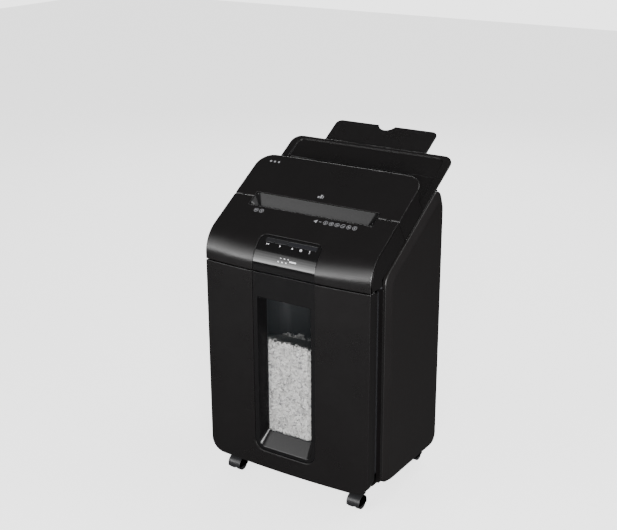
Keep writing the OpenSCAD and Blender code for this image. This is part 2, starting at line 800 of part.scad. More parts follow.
module bin_front_panel() color(black) {
    difference() {
        crowned_block(0, 0, panel_back);
        crowned_block(wall, wall, panel_back + 1);
        facing(-20, 4)
            polygon(slab(-column_w / 2, column_low, column_w / 2, seam_z + 10, column_corner, 0));
    }
    // Neck that closes the groove in front of the casing.
    facing(panel_back - 2, neck_back) difference() {
        polygon(slab(-shell_x + wall + 0.5, body_bottom + wall + 0.5, shell_x - wall - 0.5,
                     deck_low - 1, panel_corner - wall, 1));
        polygon(slab(-tub_x - 1, tub_low - 2, tub_x + 1, seam_z + 20, 18, 0));
    }
    // Bosses that the tub is screwed to.
    for (b = boss_at) translate([b[0], 0, b[1]]) rotate([-90, 0, 0])
        translate([0, 0, -2]) cylinder(r = 5, h = tub_front + 2);
}

window_low = 87;
window_high = 388;
window_x = 58;
pane_x = 50;
pane_low = 114;
pane_high = 378;
pane_y = 15;
column_y = -5.5;

module window_outline(d) polygon(slab(-window_x - d, window_low - d, window_x + d,
                                      window_high + d, 14 + d, 3 + d));

module pane_outline(d) polygon(slab(-pane_x - d, pane_low - d, pane_x + d, pane_high + d,
                                    8 + d, 2 + d));

module window_frame() color(gloss) difference() {
    union() {
        // Flush plate that fills the column.
        facing(column_y, column_y + 2.5)
            polygon(slab(-column_w / 2 + gap, column_low + gap, column_w / 2 - gap,
                         seam_z - 1.2, column_corner - gap, 0));
        // Funnel back to the pane.
        hull() {
            facing(column_y + 1, column_y + 2.5) window_outline(2.5);
            facing(pane_y - 1, pane_y) pane_outline(2.5);
        }
        // Finger pull behind the upper plate.
        block([-pane_x - 2.5, column_y + 1, window_high - 12], [pane_x + 2.5, pane_y, 414]);
    }
    hull() {
        facing(column_y - 1, column_y - 0.5) window_outline(0);
        facing(pane_y + 0.5, pane_y + 1) pane_outline(0);
    }
    block([-pane_x, column_y + 2.5, window_high - 10], [pane_x, pane_y - 2.5, 411.5]);
}

module window_lens() color([0.6, 0.62, 0.65, 0.35])
    block([-pane_x - 3, pane_y, pane_low - 5], [pane_x + 3, tub_front, pane_high + 5]);

tub_x = 165;
tub_front = panel_back;
tub_back = back_face - 14;
tub_low = pan_top + 6.4;
tub_wall = 2.5;

// The tub's block, d in from its outside and between two heights.
module tub_block(d, z0, z1) intersection() {
    translate([0, 0, z0]) linear_extrude(z1 - z0)
        polygon(slab(-tub_x + d, tub_front + d, tub_x - d, tub_back - d, 12 - d, 24 - d));
    facing(0, tub_back) polygon(slab(-tub_x + d, tub_low + d, tub_x - d, z1 + 20, 18 - d, 0));
}

module bin_tub() color("#1d1c20") difference() {
    tub_block(0, tub_low, tub_top);
    tub_block(tub_wall, tub_low, tub_top + 10);
    block([-pane_x - 2, 0, pane_low - 4], [pane_x + 2, 30, pane_high + 4]);
}

heap_gap = 2.2;       // clearance between the tub's inside and the heap
heap_wall = 4;        // the heap is drawn hollow, with this wall

module paper_shreds() color("#e9e7e2") difference() {
    tub_block(tub_wall + heap_gap, tub_low, heap_top);
    tub_block(tub_wall + heap_gap + heap_wall, tub_low, heap_top - heap_wall);
}

module bin_panel_screws() color(steel) for (b = boss_at)
    screw([b[0], tub_front + tub_wall, b[1]], [-90, 0, 0], 12);

// ---- casters -------------------------------------------------------------

hood_r = wheel_r + 1.8;
hood_x = 13.5;        // half the hood's width
web_x = 3.2;          // half the web between the two wheels
axle_r = 2.2;

// The wheels trail towards the front at the front and the back at the back.
function trail(s) = s[1] < 100 ? -caster_trail : caster_trail;

module caster_fork(s) color(satin) {
    w = [s[1] + trail(s), wheel_r];
    difference() {
        union() {
            rod(hood_r, w, s[0] - hood_x, s[0] + hood_x);
            translate([s[0], s[1], 22]) cylinder(r = 9, h = 24);
            translate([s[0], s[1], 30]) cylinder(r = stem_r, h = stem_top - 30);
        }
        for (x = [s[0] - hood_x - 1, s[0] + web_x]) rod(wheel_r + 0.7, w, x, x + hood_x - web_x + 1);
        // The hood stops a little below the axle.
        block([s[0] - 20, w[0] - 30, -5], [s[0] + 20, w[0] + 30, wheel_r - 5]);
        rod(axle_r + 0.05, w, s[0] - 20, s[0] + 20);
    }
}

module caster_wheels(s) {
    w = [s[1] + trail(s), wheel_r];
    wheel_w = hood_x - web_x - 1.2;
    color("#101012") for (x = [s[0] - hood_x + 0.6, s[0] + web_x + 0.6]) difference() {
        rod(wheel_r, w, x, x + wheel_w);
        rod(axle_r, w, x - 1, x + wheel_w + 1);
    }
    color(steel) rod(axle_r, w, s[0] - hood_x + 1, s[0] + hood_x - 1);
}

module caster_fork_front_left() caster_fork(swivels[0]);
module caster_fork_front_right() caster_fork(swivels[1]);
module caster_fork_rear_left() caster_fork(swivels[2]);
module caster_fork_rear_right() caster_fork(swivels[3]);
module caster_wheels_front_left() caster_wheels(swivels[0]);
module caster_wheels_front_right() caster_wheels(swivels[1]);
module caster_wheels_rear_left() caster_wheels(swivels[2]);
module caster_wheels_rear_right() caster_wheels(swivels[3]);

// ---- drawing -------------------------------------------------------------

place() base_pan();
place() bin_rails();
place() front_frame();
place() left_side_panel();
place() right_side_panel();
place() back_panel();
place() head_chassis();
place() head_cover();
place() console_fascia();
place() indicator_lens();
place() control_board();
place() feed_throat();
place() paper_guides();
place() cutter_side_plates();
place() cutter_bushes();
place() tie_rods();
place() stripper_combs();
place() gear_pins();
place() motor_housing();
place() run_capacitor();
place() power_board();
place() lid_hinge_brackets();
place() lid_hinge_pins();
place() paper_tray();
place() feed_shaft_bearings();
place() power_switch_housing();
place() cord_gland();
place() interlock_switches();
place() cabinet_screws();
place() bin_tub();
place() bin_front_panel();
place() window_frame();
place() window_lens();
place() paper_shreds();
place() bin_panel_screws();
place() lid_shell();
place() pressure_springs();
place() pressure_plate();
place() paper_support();
place() rear_cutter_drum();
place() front_cutter_drum();
place() rear_drum_gears();
place() front_drum_gear();
place() reduction_gear();
place() motor_shaft();
place() feed_idler_gear();
place() feed_shaft();
place() feed_rollers();
place() reverse_button();
place() start_button();
place() power_rocker();
place() caster_fork_front_left();
place() caster_fork_front_right();
place() caster_fork_rear_left();
place() caster_fork_rear_right();
place() caster_wheels_front_left();
place() caster_wheels_front_right();
place() caster_wheels_rear_left();
place() caster_wheels_rear_right();
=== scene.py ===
# %% [markdown]
# # Finishing a paper shredder
# A packed engineering model holds every part of the machine at its true size, but its faces
# are plain triangles in plain colours. In this lesson each shell gets the small rounded edges
# that a mould leaves, each finish gets a material, and the things that an engineer leaves as
# blocks, such as loose paper and coil springs, are modelled as what they are.

import json
import math
import random

import bmesh
import bpy
import numpy as np
from mathutils import Matrix, Vector
from mathutils.bvhtree import BVHTree
from mathutils.geometry import area_tri


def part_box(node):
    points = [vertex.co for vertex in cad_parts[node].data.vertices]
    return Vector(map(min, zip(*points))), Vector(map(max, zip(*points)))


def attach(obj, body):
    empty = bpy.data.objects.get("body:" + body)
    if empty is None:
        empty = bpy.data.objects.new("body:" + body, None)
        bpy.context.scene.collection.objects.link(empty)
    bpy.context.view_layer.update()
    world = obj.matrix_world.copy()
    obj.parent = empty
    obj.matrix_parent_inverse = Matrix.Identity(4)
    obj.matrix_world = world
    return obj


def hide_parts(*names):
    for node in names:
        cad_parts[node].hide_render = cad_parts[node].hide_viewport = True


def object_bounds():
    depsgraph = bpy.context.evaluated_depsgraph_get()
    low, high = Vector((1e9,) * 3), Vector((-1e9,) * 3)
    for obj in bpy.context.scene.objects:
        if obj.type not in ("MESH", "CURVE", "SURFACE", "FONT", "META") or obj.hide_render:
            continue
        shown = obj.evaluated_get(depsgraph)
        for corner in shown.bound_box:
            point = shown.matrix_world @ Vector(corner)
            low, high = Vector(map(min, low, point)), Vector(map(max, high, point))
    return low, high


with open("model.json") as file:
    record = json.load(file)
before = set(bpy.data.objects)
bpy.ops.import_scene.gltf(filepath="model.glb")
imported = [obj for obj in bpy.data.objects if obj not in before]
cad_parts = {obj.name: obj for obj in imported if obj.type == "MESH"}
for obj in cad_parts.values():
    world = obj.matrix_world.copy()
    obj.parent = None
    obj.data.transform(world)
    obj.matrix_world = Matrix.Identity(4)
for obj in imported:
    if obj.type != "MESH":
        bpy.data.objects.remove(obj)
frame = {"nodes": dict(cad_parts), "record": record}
cad_box = [list(corner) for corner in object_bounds()]
print("frame box in metres:", cad_box)

# %% [markdown]
# ## Places on the machine
# The engineer measured the machine from the front plane of its bin panel, in millimetres, and
# the sloping top has its own directions: across, up the slope and out of it. Two helpers turn
# those numbers into points, so every later cell can speak in the same terms as the drawing.

# %% Helpers for places
MM = 0.001
CROWN = 8 * MM
SLOPE = math.radians(31.7)
SEAM = (94, 481 + 94 * math.tan(SLOPE))
front_plane = cad_box[0][1] + CROWN


def at(x, y, z):
    """A point from millimetres across, back from the front plane, and up."""
    return Vector((x * MM, front_plane + y * MM, z * MM))


def on_slope(x, u, n):
    """A point from millimetres across, up the slope from the lid's seam, and out of it."""
    return at(x, SEAM[0] + u * math.cos(SLOPE) - n * math.sin(SLOPE),
              SEAM[1] + u * math.sin(SLOPE) + n * math.cos(SLOPE))


OUT_OF_SLOPE = Vector((0, -math.sin(SLOPE), math.cos(SLOPE)))
ACROSS = Vector((1, 0, 0))
print("front plane at y =", round(front_plane, 5), "and lid seam at", on_slope(0, 0, 0))

# %% [markdown]
# ## Camera, light and floor
# A dark satin product is drawn by what it mirrors, so the light comes from large soft boxes. A
# wall of strips in front and to the left gives the long highlight on the nose, a strong box in
# front and to the right lights the bin panel and the paper behind the window, and weaker ones
# above, at the side and behind lift the rest. They are made first, so each material can be
# judged in the light that it will be seen in.

# %% Camera
camera_data = bpy.data.cameras.new("camera")
camera_data.sensor_width = 36
camera_data.lens = 68.04
camera = bpy.data.objects.new("camera", camera_data)
camera.location = (1.0918, -1.7703, 1.1393)
camera.rotation_euler = [math.radians(a) for a in (90 - 19.47, 0.25, 33.07)]
bpy.context.collection.objects.link(camera)
bpy.context.scene.camera = camera
print("camera at", tuple(camera.location))


# %% Soft boxes
def soft_box(name, place, target, size, power):
    """A rectangular area light that faces its target."""
    lamp = bpy.data.lights.new(name, "AREA")
    lamp.shape = "RECTANGLE"
    lamp.size, lamp.size_y = size
    lamp.energy = power
    box = bpy.data.objects.new(name, lamp)
    box.location = place
    box.rotation_euler = (Vector(target) - Vector(place)).to_track_quat("-Z", "Y").to_euler()
    bpy.context.collection.objects.link(box)


# Each strip of the key wall is dimmer than the one below, so that its mirror image fades.
KEY_STRIPS, KEY_LEAN, KEY_POWER, KEY_FADE = 5, 0.03, 21, 0.60
STRIP_SIZE = (1.45, 0.31)
for k in range(KEY_STRIPS):
    strip_place = (-1.15 + KEY_LEAN * k, -2.05 + KEY_LEAN * k, 0.58 + STRIP_SIZE[1] * k)
    soft_box(f"key_strip_{k}", strip_place, (0, -0.1, 0.45), STRIP_SIZE, KEY_POWER * KEY_FADE ** k)
MIDDLE = (0, 0, 0.3)
soft_box("fill_box", (1.35, -2.1, 0.85), (0, -0.15, 0.25), (0.9, 0.9), 140)
soft_box("top_box", (0.9, 0.9, 2.2), MIDDLE, (1.2, 1.2), 30)
soft_box("side_box", (2.3, -0.1, 1.0), MIDDLE, (0.5, 1.4), 22)
soft_box("back_box", (-1.2, 2.2, 1.6), MIDDLE, (1.4, 1.0), 30)


# %% A pale room that mirrors darkly, as a studio hung with black cloth does
def seen_or_mirrored(tree, seen, mirrored):
    """One grey where the camera looks straight at it, another in reflections."""
    path = tree.nodes.new("ShaderNodeLightPath")
    choose = tree.nodes.new("ShaderNodeMapRange")
    choose.inputs["To Min"].default_value = mirrored
    choose.inputs["To Max"].default_value = seen
    tree.links.new(path.outputs["Is Camera Ray"], choose.inputs["Value"])
    return choose.outputs["Result"]


world = bpy.data.worlds.new("studio")
world.use_nodes = True
sky = world.node_tree.nodes["Background"]
sky.inputs["Color"].default_value = (1, 1, 1, 1)
world.node_tree.links.new(seen_or_mirrored(world.node_tree, 3.0, 0.14), sky.inputs["Strength"])
bpy.context.scene.world = world

FLOOR_SIZE = 12
floor_mesh = bpy.data.meshes.new("floor")
floor_bm = bmesh.new()
bmesh.ops.create_grid(floor_bm, x_segments=1, y_segments=1, size=FLOOR_SIZE / 2)
floor_bm.to_mesh(floor_mesh)
floor_bm.free()
floor = bpy.data.objects.new("floor", floor_mesh)
bpy.context.collection.objects.link(floor)
floor_finish = bpy.data.materials.new("pale_floor")
floor_finish.use_nodes = True
floor_shader = floor_finish.node_tree.nodes["Principled BSDF"]
floor_shader.inputs["Roughness"].default_value = 0.8
floor_grey = seen_or_mirrored(floor_finish.node_tree, 0.60, 0.05)
floor_finish.node_tree.links.new(floor_grey, floor_shader.inputs["Base Color"])
floor_glow = seen_or_mirrored(floor_finish.node_tree, 2.0, 0.0)
floor_shader.inputs["Emission Color"].default_value = (1, 1, 1, 1)
floor_finish.node_tree.links.new(floor_glow, floor_shader.inputs["Emission Strength"])
floor_mesh.materials.append(floor_finish)
print("floor", FLOOR_SIZE, "m wide")

# %% [markdown]
# ## Shared effects
# Every moulded part carries the texture of its mould, and every used one carries a little dust
# and the marks of hands. These effects are built once as node groups with named inputs, and
# each material uses them with its own amounts. A group hands out only what varies over the
# surface, so the shader's plain numbers stay readable on the shader.


# %% Node helpers
def new_group(name, inputs, outputs):
    """An empty shader group; inputs are name: default, outputs are name: socket kind."""
    tree = bpy.data.node_groups.new(name, "ShaderNodeTree")
    for key, value in inputs.items():
        socket = tree.interface.new_socket(key, in_out="INPUT", socket_type="NodeSocketFloat")
        socket.default_value = value
    for key, kind in outputs.items():
        tree.interface.new_socket(key, in_out="OUTPUT", socket_type="NodeSocket" + kind)
    return tree, tree.nodes.new("NodeGroupInput"), tree.nodes.new("NodeGroupOutput")


def add(tree, kind, **settings):
    """A node with its properties set, and its inputs where the name is one of them."""
    node = tree.nodes.new("ShaderNode" + kind)
    for key, value in settings.items():
        if key in node.inputs:
            node.inputs[key].default_value = value
        else:
            setattr(node, key, value)
    return node


def noise(tree, scale, detail, coordinates):
    """A noise texture; scale is a number or the socket that gives it."""
    texture = add(tree, "TexNoise", Detail=detail)
    tree.links.new(coordinates, texture.inputs["Vector"])
    if isinstance(scale, (int, float)):
        texture.inputs["Scale"].default_value = scale
    else:
        tree.links.new(scale, texture.inputs["Scale"])
    return texture.outputs["Fac"]


def remap(tree, value, low, high, to_low, to_high):
    """The value moved from one range to another and held inside it."""
    node = add(tree, "MapRange")
    tree.links.new(value, node.inputs["Value"])
    for key, number in (("From Min", low), ("From Max", high), ("To Min", to_low), ("To Max", to_high)):
        if isinstance(number, (int, float)):
            node.inputs[key].default_value = number
        else:
            tree.links.new(number, node.inputs[key])
    return node.outputs["Result"]


def times(tree, a, b, operation="MULTIPLY"):
    """Two values combined; each is a socket or a number."""
    node = add(tree, "Math", operation=operation)
    for socket, value in zip(node.inputs, (a, b)):
        if isinstance(value, (int, float)):
            socket.default_value = value
        else:
            tree.links.new(value, socket)
    return node.outputs[0]


# %% Mould grain: fine pits, and the soft waves that a large moulding has
def build_mould_grain():
    tree, given, out = new_group("mould_grain", {"Pits per metre": 900.0, "Wave": 0.3},
                                 {"Height": "Float"})
    place = add(tree, "TexCoord").outputs["Object"]
    pits = noise(tree, given.outputs["Pits per metre"], 3.0, place)
    waves = times(tree, noise(tree, 14.0, 1.0, place), given.outputs["Wave"])
    tree.links.new(times(tree, pits, waves, "ADD"), out.inputs["Height"])
    return tree


# %% Handling: broad patches where hands and cloths have changed the gloss
def build_handling():
    tree, given, out = new_group("handling", {"Roughness": 0.35, "Spread": 0.06},
                                 {"Roughness": "Float"})
    place = add(tree, "TexCoord").outputs["Object"]
    patches = noise(tree, 11.0, 4.0, place)
    smears = noise(tree, 85.0, 5.0, place)
    mixed = times(tree, times(tree, patches, 0.7), times(tree, smears, 0.3), "ADD")
    spread = remap(tree, mixed, 0.3, 0.7, -1.0, 1.0)
    shift = times(tree, spread, given.outputs["Spread"])
    tree.links.new(times(tree, shift, given.outputs["Roughness"], "ADD"), out.inputs["Roughness"])
    return tree


# %% Dust: settles on faces that look up
def build_dust():
    tree, given, out = new_group("dust", {"Amount": 0.3, "Specks per metre": 500.0},
                                 {"Mask": "Float"})
    place = add(tree, "TexCoord").outputs["Object"]
    axes = add(tree, "SeparateXYZ")
    tree.links.new(add(tree, "NewGeometry").outputs["Normal"], axes.inputs[0])
    upward = remap(tree, axes.outputs["Z"], 0.3, 1.0, 0.0, 1.0)
    drifts = remap(tree, noise(tree, 22.0, 4.0, place), 0.35, 0.8, 0.6, 1.0)
    specks = remap(tree, noise(tree, given.outputs["Specks per metre"], 2.0, place),
                   0.58, 0.75, 0.15, 1.0)
    settled = times(tree, times(tree, upward, drifts), specks)
    tree.links.new(times(tree, settled, given.outputs["Amount"]), out.inputs["Mask"])
    return tree


# %% Machined lines: fine grooves along one axis, as a cutter or a roll leaves
def build_machining():
    tree, given, out = new_group("machining", {"Lines per metre": 1500.0, "Contrast": 1.0},
                                 {"Height": "Float", "Shade": "Float"})
    stretch = add(tree, "Mapping")
    stretch.inputs["Scale"].default_value = (1.0, 0.04, 0.04)
    tree.links.new(add(tree, "TexCoord").outputs["Object"], stretch.inputs["Vector"])
    lines = noise(tree, given.outputs["Lines per metre"], 3.0, stretch.outputs["Vector"])
    tree.links.new(lines, out.inputs["Height"])
    shade = remap(tree, lines, 0.35, 0.65, -1.0, 1.0)
    tree.links.new(times(tree, shade, given.outputs["Contrast"]), out.inputs["Shade"])
    return tree


MOULD_GRAIN = build_mould_grain()
HANDLING = build_handling()
DUST = build_dust()
MACHINING = build_machining()
print("node groups:", [g.name for g in bpy.data.node_groups])

# %% [markdown]
# ## Plastics
# Most of this machine is one black plastic in three polishes: satin with a fine grain on the
# shells, a little rougher and warmer on the casing sides, and mirror smooth around the controls
# and the window. A single function makes them all, because a real maker would also mix one
# resin and change only the polish of the mould.


# %% Plastic material
def place_group(tree, group, **values):
    """One of the shared groups, with this material's own amounts."""
    node = tree.nodes.new("ShaderNodeGroup")
    node.node_tree = group
    for key, value in values.items():
        node.inputs[key.replace("_", " ")].default_value = value
    return node


def blend_colour(tree, mask, plain, marked):
    """Plain colour where the mask is 0, marked colour where it is 1."""
    mix = add(tree, "Mix", data_type="RGBA")
    colours = [s for s in mix.inputs if s.type == "RGBA"]
    colours[0].default_value = (*plain, 1)
    colours[1].default_value = (*marked, 1)
    tree.links.new(mask, mix.inputs["Factor"])
    return [s for s in mix.outputs if s.type == "RGBA"][0]


def bump(tree, height, depth, shader):
    """Turns a height pattern of a given depth in metres into the shader's normal."""
    node = add(tree, "Bump", Strength=1.0, Distance=depth)
    tree.links.new(height, node.inputs["Height"])
    tree.links.new(node.outputs["Normal"], shader.inputs["Normal"])


def new_material(name):
    """An empty node material with its tree and its Principled shader."""
    material = bpy.data.materials.new(name)
    material.use_nodes = True
    return material, material.node_tree, material.node_tree.nodes["Principled BSDF"]


DUST_COLOUR = (0.30, 0.29, 0.28)


def plastic(name, colour, rough, spread=0.04, pits=900.0, depth=0.00004, dust=0.015, coat=0.0):
    """Moulded plastic: grain, hand marks and a trace of dust over one resin."""
    material, tree, shader = new_material(name)
    shader.inputs["Specular IOR Level"].default_value = 0.38
    grain = place_group(tree, MOULD_GRAIN, Pits_per_metre=pits)
    hands = place_group(tree, HANDLING, Roughness=rough, Spread=spread)
    settled = place_group(tree, DUST, Amount=dust)
    tint = blend_colour(tree, settled.outputs["Mask"], colour, DUST_COLOUR)
    tree.links.new(tint, shader.inputs["Base Color"])
    rougher = times(tree, settled.outputs["Mask"], hands.outputs["Roughness"], "ADD")
    tree.links.new(rougher, shader.inputs["Roughness"])
    bump(tree, grain.outputs["Height"], depth, shader)
    if coat:
        shader.inputs["Coat Weight"].default_value = coat
        shader.inputs["Coat Roughness"].default_value = 0.03
    return material


# %% [markdown]
# ## Metals
# Inside are ground cutter discs, plated sheet, cut gears and bright shafts. They share one
# recipe with different grooves: a metallic shader whose roughness and colour follow the lines
# that the tool left.


# %% Metal material
def metal(name, colour, rough, lines=1500.0, contrast=0.06, depth=0.00002):
    """Worked metal with fine tool lines and the grease of handling."""
    material, tree, shader = new_material(name)
    tool = place_group(tree, MACHINING, Lines_per_metre=lines, Contrast=contrast)
    hands = place_group(tree, HANDLING, Roughness=rough, Spread=0.08)
    shader.inputs["Metallic"].default_value = 1.0
    darker = tuple(c * 0.72 for c in colour)
    mask = remap(tree, tool.outputs["Shade"], -0.06, 0.06, 0.0, 1.0)
    tree.links.new(blend_colour(tree, mask, darker, colour), shader.inputs["Base Color"])
    shifted = times(tree, tool.outputs["Shade"], hands.outputs["Roughness"], "ADD")
    tree.links.new(shifted, shader.inputs["Roughness"])
    bump(tree, tool.outputs["Height"], depth, shader)
    return material


# %% [markdown]
# ## Clear plastic, paper and print
# The window is a thin clear sheet that must let light fall on the paper behind it, so it is
# made see-through by alpha, with more of its gloss at a glancing angle. Paper is bright, rough
# and slightly uneven from scrap to scrap, which a random value for each island of faces gives
# cheaply; the darkest scraps are painted shade, a grey for scraps turned away from the light.


# %% Window, paper and print materials
def clear_sheet(name, colour):
    """Clear plastic: hardly there face on, and a mirror at a glancing angle."""
    material, tree, shader = new_material(name)
    shader.inputs["Base Color"].default_value = (*colour, 1)
    hands = place_group(tree, HANDLING, Roughness=0.035, Spread=0.02)
    tree.links.new(hands.outputs["Roughness"], shader.inputs["Roughness"])
    facing = add(tree, "LayerWeight", Blend=0.35).outputs["Facing"]
    tree.links.new(remap(tree, facing, 0.0, 1.0, 0.10, 0.75), shader.inputs["Alpha"])
    return material


def paper(name):
    """Cut office paper: mostly white with spots of print; the darkest scraps are painted shade, for
    scraps turned away from the light.
    """
    material, tree, shader = new_material(name)
    scrap = add(tree, "NewGeometry").outputs["Random Per Island"]
    shade = add(tree, "ValToRGB")
    # The lowest stop is painted shade, a darker grey for scraps turned from the light; the others are
    # the paper's random tone.
    scrap_greys_and_painted_shade = ((0.0, (0.36, 0.36, 0.37)), (0.16, (0.72, 0.71, 0.69)), (0.5, (0.9, 0.89, 0.87)),
             (1.0, (0.97, 0.965, 0.95)))
    while len(shade.color_ramp.elements) < len(scrap_greys_and_painted_shade):
        shade.color_ramp.elements.new(0.5)
    for element, (position, colour) in zip(shade.color_ramp.elements, scrap_greys_and_painted_shade):
        element.position = position
        element.color = (*colour, 1)
    tree.links.new(scrap, shade.inputs["Fac"])
    place = add(tree, "TexCoord").outputs["Object"]
    fibre = noise(tree, 900.0, 4.0, place)
    print_mask = remap(tree, noise(tree, 420.0, 1.0, place), 0.6, 0.64, 0.0, 0.45)
    mix = add(tree, "Mix", data_type="RGBA")
    colours = [s for s in mix.inputs if s.type == "RGBA"]
    colours[1].default_value = (0.12, 0.12, 0.14, 1)
    tree.links.new(shade.outputs["Color"], colours[0])
    tree.links.new(print_mask, mix.inputs["Factor"])
    tree.links.new([s for s in mix.outputs if s.type == "RGBA"][0], shader.inputs["Base Color"])
    tree.links.new(remap(tree, fibre, 0.3, 0.7, 0.7, 0.9), shader.inputs["Roughness"])
    bump(tree, fibre, 0.00005, shader)
    return material


# %% One material for each finish of the record
MATERIALS = {
    "shell_plastic": plastic("shell_plastic", (0.0040, 0.0035, 0.0036), 0.29),
    "casing_plastic": plastic("casing_plastic", (0.0062, 0.0054, 0.0054), 0.38, pits=700.0),
    "gloss_plastic": plastic("gloss_plastic", (0.0030, 0.0028, 0.0030), 0.13, spread=0.02,
                             depth=0.000004, dust=0.0, coat=0.25),
    "inner_plastic": plastic("inner_plastic", (0.032, 0.032, 0.035), 0.52, depth=0.00007, dust=0.35),
    "button_plastic": plastic("button_plastic", (0.010, 0.010, 0.011), 0.22, dust=0.0, coat=0.3),
    "lens_plastic": plastic("lens_plastic", (0.010, 0.010, 0.012), 0.06, spread=0.01,
                            depth=0.000003, dust=0.0, coat=0.5),
    "caster_plastic": plastic("caster_plastic", (0.010, 0.010, 0.011), 0.38, dust=0.05),
    "switch_plastic": plastic("switch_plastic", (0.024, 0.024, 0.027), 0.30, dust=0.1),
    "gear_nylon": plastic("gear_nylon", (0.62, 0.60, 0.52), 0.42, depth=0.00003, dust=0.15),
    "roller_rubber": plastic("roller_rubber", (0.095, 0.095, 0.10), 0.72, pits=1600.0,
                             depth=0.00010, dust=0.25),
    "tread": plastic("tread", (0.012, 0.012, 0.013), 0.5, pits=1200.0, depth=0.00008, dust=0.4),
    "circuit_board": plastic("circuit_board", (0.020, 0.115, 0.055), 0.32, depth=0.00002, coat=0.3),
    "cutter_steel": metal("cutter_steel", (0.46, 0.47, 0.49), 0.28, lines=2600.0),
    "sheet_steel": metal("sheet_steel", (0.56, 0.56, 0.58), 0.36, lines=500.0),
    "bright_steel": metal("bright_steel", (0.68, 0.68, 0.70), 0.20),
    "gear_steel": metal("gear_steel", (0.36, 0.37, 0.39), 0.34),
    "bronze": metal("bronze", (0.52, 0.37, 0.17), 0.38),
    "motor_steel": metal("motor_steel", (0.30, 0.32, 0.35), 0.42, lines=700.0),
    "cap_aluminium": metal("cap_aluminium", (0.72, 0.71, 0.69), 0.30),
    "shreds": paper("shreds"),
    "window_plastic": clear_sheet("window_plastic", (0.01, 0.012, 0.013)),
}
RECESS = plastic("recess_plastic", (0.0032, 0.0030, 0.0032), 0.24, depth=0.00001, dust=0.0)
PRINT = plastic("printed_grey", (0.20, 0.20, 0.21), 0.55, depth=0.00001, dust=0.0)
PRINT_BRIGHT = plastic("printed_light", (0.62, 0.62, 0.64), 0.45, depth=0.00001, dust=0.0)
WIRE_WHITE = plastic("wire_white", (0.6, 0.6, 0.58), 0.4, depth=0.00001)
WIRE_BLUE = plastic("wire_blue", (0.02, 0.07, 0.35), 0.4, depth=0.00001)
WIRE_BROWN = plastic("wire_brown", (0.16, 0.06, 0.025), 0.4, depth=0.00001)

slot_of = {part["node"]: part["material_slot"] for part in frame["record"]["subparts"]}
body_of = {node: body for body, nodes in frame["record"]["behaviour"]["bodies"].items()
           for node in nodes}
for node, part in frame["nodes"].items():
    part.data.materials.clear()
    part.data.materials.append(MATERIALS[slot_of[node]])
print(len(MATERIALS), "finishes on", len(slot_of), "nodes")

# %% [markdown]
# ## Rounded edges on the shells
# No moulded or bent edge is truly sharp, and on black plastic the thin bright line along each
# edge is what shows the form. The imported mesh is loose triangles, so a copy of it is welded and
# its flat faces are joined again. A Bevel modifier then rounds every edge sharper than a set
# angle, which follows a change in the model where hand-picked edges would not.

# %% Dress a CAD part
SMOOTH_BELOW = math.radians(32)
ROUND_ABOVE = math.radians(38)
FLAT_WITHIN = math.radians(0.3)
WELD_WITHIN = 0.004 * MM
AREA_CHANGE = 1e-4


def settle(piece, node):
    """Puts a piece on the body that its node moves with, and hides the node that it stands in for."""
    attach(piece, body_of[node])
    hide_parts(node)
    return piece


def link(name, mesh, material):
    """A new object at the origin with this mesh and material."""
    mesh.materials.clear()
    mesh.materials.append(material)
    piece = bpy.data.objects.new(name, mesh)
    bpy.context.collection.objects.link(piece)
    return piece


def shade(mesh):
    """Smooth faces, with edges kept sharp past the limit."""
    mesh.polygons.foreach_set("use_smooth", [True] * len(mesh.polygons))
    mesh.set_sharp_from_angle(angle=SMOOTH_BELOW)


def drawn_area(bm):
    """The area of the mesh as it is drawn, in triangles."""
    return sum(area_tri(*(loop.vert.co for loop in corner)) for corner in bm.calc_loop_triangles())


def welded_copy(node):
    """The node's mesh with its triangles welded and, where no hole closes, flat faces joined."""
    bm = bmesh.new()
    bm.from_mesh(frame["nodes"][node].data)
    bmesh.ops.remove_doubles(bm, verts=bm.verts, dist=WELD_WITHIN)
    joined = bm.copy()
    bmesh.ops.dissolve_limit(joined, angle_limit=FLAT_WITHIN, verts=joined.verts,
                             edges=joined.edges)
    same = abs(drawn_area(joined) / drawn_area(bm) - 1) < AREA_CHANGE
    mesh = bpy.data.meshes.new(node + "_finished")
    (joined if same else bm).to_mesh(mesh)
    joined.free()
    bm.free()
    return mesh


def dress(node, radius):
    """A finished copy of the node, with edges rounded to a radius in millimetres."""
    mesh = welded_copy(node)
    shade(mesh)
    piece = link(node + "_finished", mesh, MATERIALS[slot_of[node]])
    rounding = piece.modifiers.new("rounding", "BEVEL")
    rounding.width = radius * MM
    rounding.segments = 3
    rounding.limit_method = "ANGLE"
    rounding.angle_limit = ROUND_ABOVE
    rounding.use_clamp_overlap = False
    rounding.harden_normals = True
    rounding.miter_outer = "MITER_ARC"
    evening = piece.modifiers.new("even_normals", "WEIGHTED_NORMAL")
    evening.keep_sharp = True
    return settle(piece, node)


EDGE_RADII = {
    "head_cover": 1.1, "lid_shell": 1.0, "bin_front_panel": 0.9, "left_side_panel": 1.4,
    "right_side_panel": 1.4, "back_panel": 0.6, "front_frame": 0.5, "paper_tray": 0.6,
    "paper_support": 0.7, "window_frame": 0.5, "console_fascia": 0.6, "feed_throat": 0.3,
    "base_pan": 0.5, "pressure_plate": 0.4, "window_lens": 0.2,
    "indicator_lens": 0.15, "reverse_button": 0.35, "start_button": 0.35,
    "power_rocker": 0.4, "power_switch_housing": 0.3, "cord_gland": 0.4,
    "motor_housing": 1.2, "run_capacitor": 1.0, "interlock_switches": 0.3,
    "head_chassis": 0.4, "bin_rails": 0.4,
}
for spot in ("front_left", "front_right", "rear_left", "rear_right"):
    EDGE_RADII["caster_fork_" + spot] = 0.7
    EDGE_RADII["caster_wheels_" + spot] = 0.7

